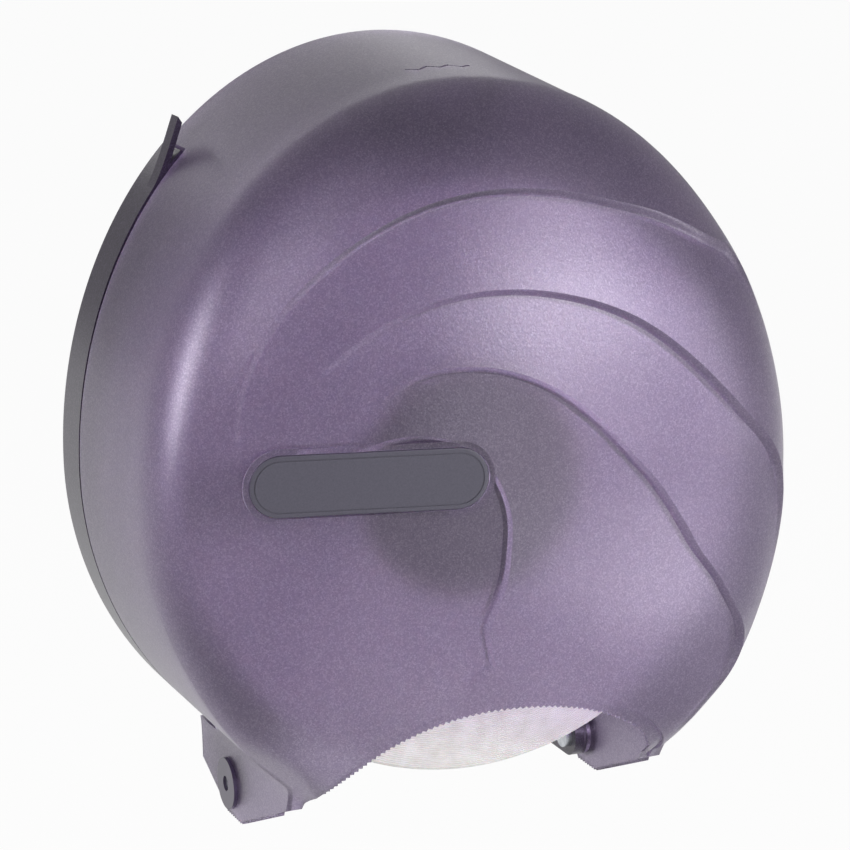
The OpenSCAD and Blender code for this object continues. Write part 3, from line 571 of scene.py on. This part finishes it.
def paper_roll():
    """The wound roll: a soft-edged ring whose last sheet ends in a fine step near the outlet."""
    # soft is the radius of the worn outer edges, and sheet the height of the last sheet's step
    inner, outer, back, fore, soft, sheet = 44.5, 114.3, 12.5, 101.5, 1.6, 0.5
    faced = (0.15, 0.35, 0.55, 0.75, 0.92)
    loop = [(inner, back + 0.4), (inner, fore - 0.4), (inner + 0.5, fore)]
    loop += [(inner + (outer - inner) * t, fore) for t in faced]
    loop += [(outer - soft + soft * math.sin(t), fore - soft + soft * math.cos(t))
             for t in np.linspace(0.1, 1.57, 6)]
    loop += [(outer, fore - w) for w in (12, 30, 44, 60, 76)]
    loop += [(outer - soft + soft * math.cos(t), back + soft - soft * math.sin(t))
             for t in np.linspace(0, 1.47, 6)]
    loop += [(inner + (outer - inner) * t, back) for t in reversed(faced)] + [(inner + 0.5, back)]
    turns, m = 360, len(loop)
    pts = []
    for i in range(turns):
        a = math.radians(-118 + 360 * i / turns)
        for r, y in loop:
            r -= sheet * (i / turns) * ease((r - inner) / (outer - inner))
            pts.append([r * math.cos(a), -y, r * math.sin(a)])
    at = lambda i, j: i % turns * m + j % m
    faces = [[at(i, j), at(i, j + 1), at(i + 1, j + 1), at(i + 1, j)] for i in range(turns) for j in range(m)]
    return smooth(out_facing(from_points("paper_wound", pts, faces)), 20)


def latch_spring():
    """The latch lever's return spring: one unbroken coil between the frame and the lever."""
    low, high = (np.array(c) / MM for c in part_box("latch_spring"))
    wire, coils, per, sides = 0.5, 5, 36, 10
    at = (low + high) / 2
    r = (high[0] - low[0]) / 2 - wire
    climb, steps = high[2] - low[2] - 2 * wire, coils * per
    pts = []
    for i in range(steps + 1):
        a, z = 2 * math.pi * i / per, low[2] + wire + climb * i / steps
        for k in range(sides):
            b = 2 * math.pi * k / sides
            out = r + wire * math.cos(b)
            pts.append([at[0] + out * math.cos(a), at[1] + out * math.sin(a), z + wire * math.sin(b)])
    at_ring = lambda i, k: i * sides + k % sides
    faces = [[at_ring(i, k), at_ring(i, k + 1), at_ring(i + 1, k + 1), at_ring(i + 1, k)]
             for i in range(steps) for k in range(sides)]
    faces += [list(range(sides)), [at_ring(steps, k) for k in reversed(range(sides))]]
    return smooth(out_facing(from_points("spring_coil", pts, faces)), 40)


# ---------------------------------------------------------------- materials
def pearl_smoke(name, deep, mid, sheen, lamp_tint, clear, rough):
    """Moulded smoke-tinted polystyrene with pearl flake: satin, with what lies behind it blurred.

    Light from lamps passes it, as it does the real wall, so that the paper behind is lit."""
    m, p, at = material(name, Metallic=0.06, Roughness=rough, IOR=1.5, Transmission_Weight=clear)
    # flakes of about 0.2 mm, drawn at 0.5 mm so that they show
    flake = add(m, "ShaderNodeTexVoronoi", {"Scale": 2100.0}, {"Vector": at})
    cloud = add(m, "ShaderNodeTexNoise", {"Scale": 24.0, "Detail": 3.0}, {"Vector": at})
    tint = ramp(m, flake.outputs["Color"], [(0.0, deep), (0.55, mid), (1.0, sheen)])
    soft = ramp(m, cloud.outputs["Fac"], [(0.3, deep), (0.7, mid)])
    both = add(m, "ShaderNodeMix", {"data_type": "RGBA", "Factor": 0.3})
    feed(m, tint, both.inputs["A"])
    feed(m, soft, both.inputs["B"])
    feed(m, both.outputs["Result"], p.inputs["Base Color"])
    # the mould's spark-eroded grain breaks up the highlights
    grain = add(m, "ShaderNodeTexNoise", {"Scale": 1100.0, "Detail": 2.0}, {"Vector": at})
    bump = add(m, "ShaderNodeBump", {"Strength": 0.22, "Distance": 0.0003}, {"Height": grain.outputs["Fac"]})
    feed(m, bump.outputs["Normal"], p.inputs["Normal"])
    lamp = add(m, "ShaderNodeBsdfTransparent", {"Color": linear(lamp_tint)})
    path = add(m, "ShaderNodeLightPath")
    whole = add(m, "ShaderNodeMixShader",
                links={0: path.outputs["Is Shadow Ray"], 1: p.outputs[0], 2: lamp.outputs[0]})
    feed(m, whole.outputs[0], m.node_tree.nodes["Material Output"].inputs["Surface"])
    return m


def moulded(name, code, rough, grain=900.0, strength=0.15, **more):
    """Moulded plastic with the fine spark-eroded grain of its mould."""
    m, p, at = material(name, Roughness=rough, IOR=1.5, **more)
    n = add(m, "ShaderNodeTexNoise", {"Scale": grain, "Detail": 3.0}, {"Vector": at})
    tone = add(m, "ShaderNodeValToRGB", links={"Fac": n.outputs["Fac"]})
    low, high = tone.color_ramp.elements
    low.position, low.color = 0.3, [c * 0.8 for c in linear(code)[:3]] + [1]
    high.position, high.color = 0.7, linear(code)
    feed(m, tone.outputs["Color"], p.inputs["Base Color"])
    b = add(m, "ShaderNodeBump", {"Strength": strength, "Distance": 0.0002}, {"Height": n.outputs["Fac"]})
    feed(m, b.outputs["Normal"], p.inputs["Normal"])
    return m


def metal(name, dark, light, rough, scale, stretch=(1, 1, 1)):
    """A plated or cast metal with mottled tone and roughness."""
    m, p, at = material(name, Metallic=1.0, Roughness=rough)
    mp = add(m, "ShaderNodeMapping", links={"Vector": at})
    mp.inputs["Scale"].default_value = stretch
    n = add(m, "ShaderNodeTexNoise", {"Scale": scale, "Detail": 4.0}, {"Vector": mp.outputs["Vector"]})
    feed(m, ramp(m, n.outputs["Fac"], [(0.3, dark), (0.7, light)]), p.inputs["Base Color"])
    spread = add(m, "ShaderNodeMapRange", {"To Min": rough - 0.06, "To Max": rough + 0.1},
                 {"Value": n.outputs["Fac"]})
    feed(m, spread.outputs["Result"], p.inputs["Roughness"])
    b = add(m, "ShaderNodeBump", {"Strength": 0.1, "Distance": 0.0001}, {"Height": n.outputs["Fac"]})
    feed(m, b.outputs["Normal"], p.inputs["Normal"])
    return m


def creped_tissue():
    """Two-ply creped tissue: soft white, with wound layers on the faces and fine crepe around."""
    m, p, at = material("creped_tissue", Roughness=0.95, IOR=1.3, Sheen_Weight=0.3, Sheen_Roughness=0.6,
                        Subsurface_Weight=0.15, Subsurface_Scale=0.004)
    flat = add(m, "ShaderNodeMapping", links={"Vector": at})
    flat.inputs["Scale"].default_value = (1, 0, 1)
    length = add(m, "ShaderNodeVectorMath", {"operation": "LENGTH"}, {0: flat.outputs["Vector"]})
    # plies of about 0.2 mm, drawn as bands of 0.8 mm so that they show
    bands = add(m, "ShaderNodeMath", {"operation": "MULTIPLY", 1: 7800.0}, {0: length.outputs["Value"]})
    wave = add(m, "ShaderNodeMath", {"operation": "SINE"}, {0: bands.outputs[0]})
    uneven = add(m, "ShaderNodeTexNoise", {"Scale": 160.0, "Detail": 4.0}, {"Vector": at})
    fibre = add(m, "ShaderNodeTexNoise", {"Scale": 1400.0, "Detail": 5.0}, {"Vector": at})
    lines = add(m, "ShaderNodeMath", {"operation": "MULTIPLY_ADD", 1: 0.12},
                {0: wave.outputs[0], 2: uneven.outputs["Fac"]})
    feed(m, ramp(m, lines.outputs[0], [(0.25, "#e9e6e0"), (0.7, "#fbfaf7")]), p.inputs["Base Color"])
    rough = add(m, "ShaderNodeMath", {"operation": "MULTIPLY_ADD", 1: 0.6},
                {0: wave.outputs[0], 2: fibre.outputs["Fac"]})
    b = add(m, "ShaderNodeBump", {"Strength": 0.35, "Distance": 0.0004}, {"Height": rough.outputs[0]})
    feed(m, b.outputs["Normal"], p.inputs["Normal"])
    return m


def paperboard():
    """Wound grey-brown core board, with its fibres and flecks."""
    m, p, at = material("wound_paperboard", Roughness=0.9, IOR=1.4)
    fibre = add(m, "ShaderNodeTexNoise", {"Scale": 420.0, "Detail": 6.0}, {"Vector": at})
    tone = ramp(m, fibre.outputs["Fac"], [(0.3, "#8e7455"), (0.6, "#b59a74"), (0.8, "#c4ab86")])
    feed(m, tone, p.inputs["Base Color"])
    b = add(m, "ShaderNodeBump", {"Strength": 0.3, "Distance": 0.0003}, {"Height": fibre.outputs["Fac"]})
    feed(m, b.outputs["Normal"], p.inputs["Normal"])
    return m


# the cover lets most of its light through, and the housing behind it is a darker, denser smoke
COVER = pearl_smoke("pearl_smoke_polystyrene", "#7b6f90", "#a294ae", "#d8cfe0", "#dcd3e3", 0.9, 0.34)
HOUSING = pearl_smoke("dark_smoke_polystyrene", "#2f2739", "#43384f", "#665b76", "#7d7190", 0.45, 0.3)
# the plate's even satin sheen, on a finer grain than the cover's
LABEL = moulded("satin_abs_grey", "#5b5867", 0.36, 1600.0, 0.08)
# the glass fibres leave the hub and latch frame matt and near black
NYLON = moulded("black_glass_filled_nylon", "#1d1b22", 0.5)
# acetal is slippery and slightly glossy: the bushes on the feet, the lever, and the pale inner bush
SMOKE = moulded("smoke_purple_acetal", "#4a4058", 0.28, 900.0, 0.06)
CHARCOAL = moulded("charcoal_acetal", "#35323d", 0.42)
ACETAL = moulded("natural_acetal", "#e6e2d8", 0.4, 500.0, 0.05, Subsurface_Weight=0.1, Subsurface_Scale=0.002)
# bright zinc plate with a faint spangle, a duller grainy casting, and dark wire drawn along its length
ZINC = metal("zinc_plated_steel", "#a9adb3", "#cfd2d6", 0.3, 260.0)
CAST = metal("die_cast_zinc", "#7e8187", "#a2a5aa", 0.5, 420.0)
SPRING = metal("oiled_spring_steel", "#4b4e54", "#7b7f86", 0.34, 300.0, (1, 1, 6))
TISSUE, BOARD = creped_tissue(), paperboard()

FINISH = {
    "front_cover": COVER, "rear_housing": HOUSING, "label_plate": LABEL,
    "hinge_pin_left": ZINC, "hinge_pin_right": ZINC, "hinge_bush_left": SMOKE, "hinge_bush_right": SMOKE,
    "spindle_bracket": CAST, "bracket_screws": ZINC, "spindle_axle": ZINC, "thrust_washer": ACETAL,
    "axle_clip": SPRING, "hub_drum": NYLON, "hub_bush": ACETAL, "hub_cap": NYLON,
    "roll_core": BOARD, "paper_roll": TISSUE,
    "latch_frame": NYLON, "frame_screws": ZINC, "latch_lever": CHARCOAL, "latch_pin": ZINC,
    "latch_spring": SPRING,
}
for node, mat in FINISH.items():
    dress(NODE[node], mat)

# ---------------------------------------------------------------- the pieces on their bodies
for make, node, body, slot in ((front_cover, "front_cover", "cover", "cover_plastic"),
                               (label_plate, "label_plate", "cover", "label_plastic"),
                               (rear_housing, "rear_housing", "housing", "housing_plastic"),
                               (paper_roll, "paper_roll", "spool", "tissue"),
                               (latch_spring, "latch_spring", "housing", "spring_steel")):
    piece = dress(make(), FINISH[node])
    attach(piece, body)
    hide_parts(node)
# the lever, 8 degrees down, leaves the spring (the last piece above) a little over half its length
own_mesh(piece)

# ---------------------------------------------------------------- floor, light and camera
WHITE = (1, 1, 1, 1)
FLOOR_Z = -0.285                                     # below the open cover
bpy.ops.object.select_all(action="DESELECT")
bpy.ops.mesh.primitive_plane_add(size=12, location=(0, 0, FLOOR_Z))
floor = bpy.context.object
floor.name = "floor"
FLOOR, fp, fat = material("white_matt_card", Roughness=0.9)
speck = add(FLOOR, "ShaderNodeTexNoise", {"Scale": 60.0}, {"Vector": fat})
feed(FLOOR, ramp(FLOOR, speck.outputs["Fac"], [(0.0, "#f6f6f6"), (1.0, "#ffffff")]), fp.inputs["Base Color"])


def shown_white(where, part):
    """1 for camera rays, and part for those that reflections and the clear plastic send."""
    rays = add(where, "ShaderNodeLightPath").outputs
    share = rays["Is Camera Ray"]
    for kind in ("Is Glossy Ray", "Is Transmission Ray"):
        some = add(where, "ShaderNodeMath", {"operation": "MULTIPLY", 1: part}, {0: rays[kind]})
        both = add(where, "ShaderNodeMath", {"operation": "MAXIMUM"}, {0: share, 1: some.outputs[0]})
        share = both.outputs[0]
    return share


# the card is white to the camera and in reflections, and keeps a share of the object's shadow
share = add(FLOOR, "ShaderNodeMath", {"operation": "MULTIPLY", 1: 0.96}, {0: shown_white(FLOOR, 1.0)})
glow = add(FLOOR, "ShaderNodeEmission", {"Color": WHITE, "Strength": 1.0})
lit = add(FLOOR, "ShaderNodeMixShader", links={0: share.outputs[0], 1: fp.outputs[0], 2: glow.outputs[0]})
feed(FLOOR, lit.outputs[0], FLOOR.node_tree.nodes["Material Output"].inputs["Surface"])
dress(floor, FLOOR)

world = bpy.data.worlds.new("studio")
bpy.context.scene.world = world
world.use_nodes = True
world.node_tree.nodes.clear()
soft = add(world, "ShaderNodeBackground", {"Color": WHITE, "Strength": 0.1})
white = add(world, "ShaderNodeBackground", {"Color": WHITE, "Strength": 1.0})
# reflections show a part of the white, so that the dark plastic isn't washed out
pick = add(world, "ShaderNodeMixShader",
           links={0: shown_white(world, 0.35), 1: soft.outputs[0], 2: white.outputs[0]})
add(world, "ShaderNodeOutputWorld", links={"Surface": pick.outputs[0]})


def softbox(name, at, aim, w, h, watts):
    """A rectangular soft light, placed and aimed in metres."""
    d = bpy.data.lights.new(name, "AREA")
    d.shape, d.size, d.size_y, d.energy = "RECTANGLE", w, h, watts
    o = bpy.data.objects.new(name, d)
    bpy.context.scene.collection.objects.link(o)
    o.location = at
    o.rotation_euler = (Vector(aim) - Vector(at)).to_track_quat("-Z", "Y").to_euler()


def around(azimuth, elevation, away):
    """A place in metres, seen from the middle of the front: degrees to the user's right and up."""
    a, e = math.radians(azimuth), math.radians(elevation)
    return (away * math.sin(a) * math.cos(e), -0.1 - away * math.cos(a) * math.cos(e), away * math.sin(e))


# the photo's highlights mirror these: a broad box to the right of the camera, a strip at the left, a
# small one low at the right, a weak box on either side and a long one behind for the top edge
MIDDLE = (0, -0.1, 0)
softbox("front_right", around(33, 16, 1.1), MIDDLE, 0.46, 0.3, 5.6)
softbox("strip_left", around(-94, 17, 0.8), (-0.1, -0.1, 0.05), 0.15, 0.36, 2.1)
softbox("low_front", around(42, -18, 0.5), (0, -0.1, -0.04), 0.2, 0.05, 0.32)
softbox("fill_left", around(-44, 34, 1.3), MIDDLE, 0.7, 0.6, 2.6)
softbox("fill_right", around(62, 4, 1.2), MIDDLE, 0.4, 0.5, 1.6)
softbox("rim_back", (0.1, 0.9, 0.42), (0, -0.05, 0.15), 0.9, 0.12, 0.7)

# the camera as fitted to the photo: degrees from the left, above and of roll, metres from its aim,
# and in pixels its focal length and the middle of its picture
AZ, EL, ROLL, DIST, FOCAL, MIDDLE_X, MIDDLE_Y, PIXELS = 21.8, 14.1, -0.87, 1.3, 3341.0, 428.9, 457.0, 850
AIM, SENSOR = Vector((0, -0.06, 0)), 36.0
az, el, roll = (math.radians(v) for v in (AZ, EL, ROLL))
back = Vector((-math.sin(az) * math.cos(el), -math.cos(az) * math.cos(el), math.sin(el)))
right = Vector((math.cos(az), -math.sin(az), 0))
up = back.cross(right)
right, up = (right * math.cos(roll) + up * math.sin(roll), up * math.cos(roll) - right * math.sin(roll))
lens = bpy.data.cameras.new("camera")
lens.sensor_width, lens.lens = SENSOR, FOCAL * SENSOR / PIXELS
lens.shift_x, lens.shift_y = (PIXELS / 2 - MIDDLE_X) / PIXELS, (MIDDLE_Y - PIXELS / 2) / PIXELS
lens.clip_start, lens.clip_end = 0.05, 30
cam = bpy.data.objects.new("camera", lens)
bpy.context.scene.collection.objects.link(cam)
turned = Matrix((right, up, back)).transposed().to_4x4()
cam.matrix_world = Matrix.Translation(AIM + back * DIST) @ turned
bpy.context.scene.camera = cam
bpy.context.scene.view_settings.view_transform = "Standard"
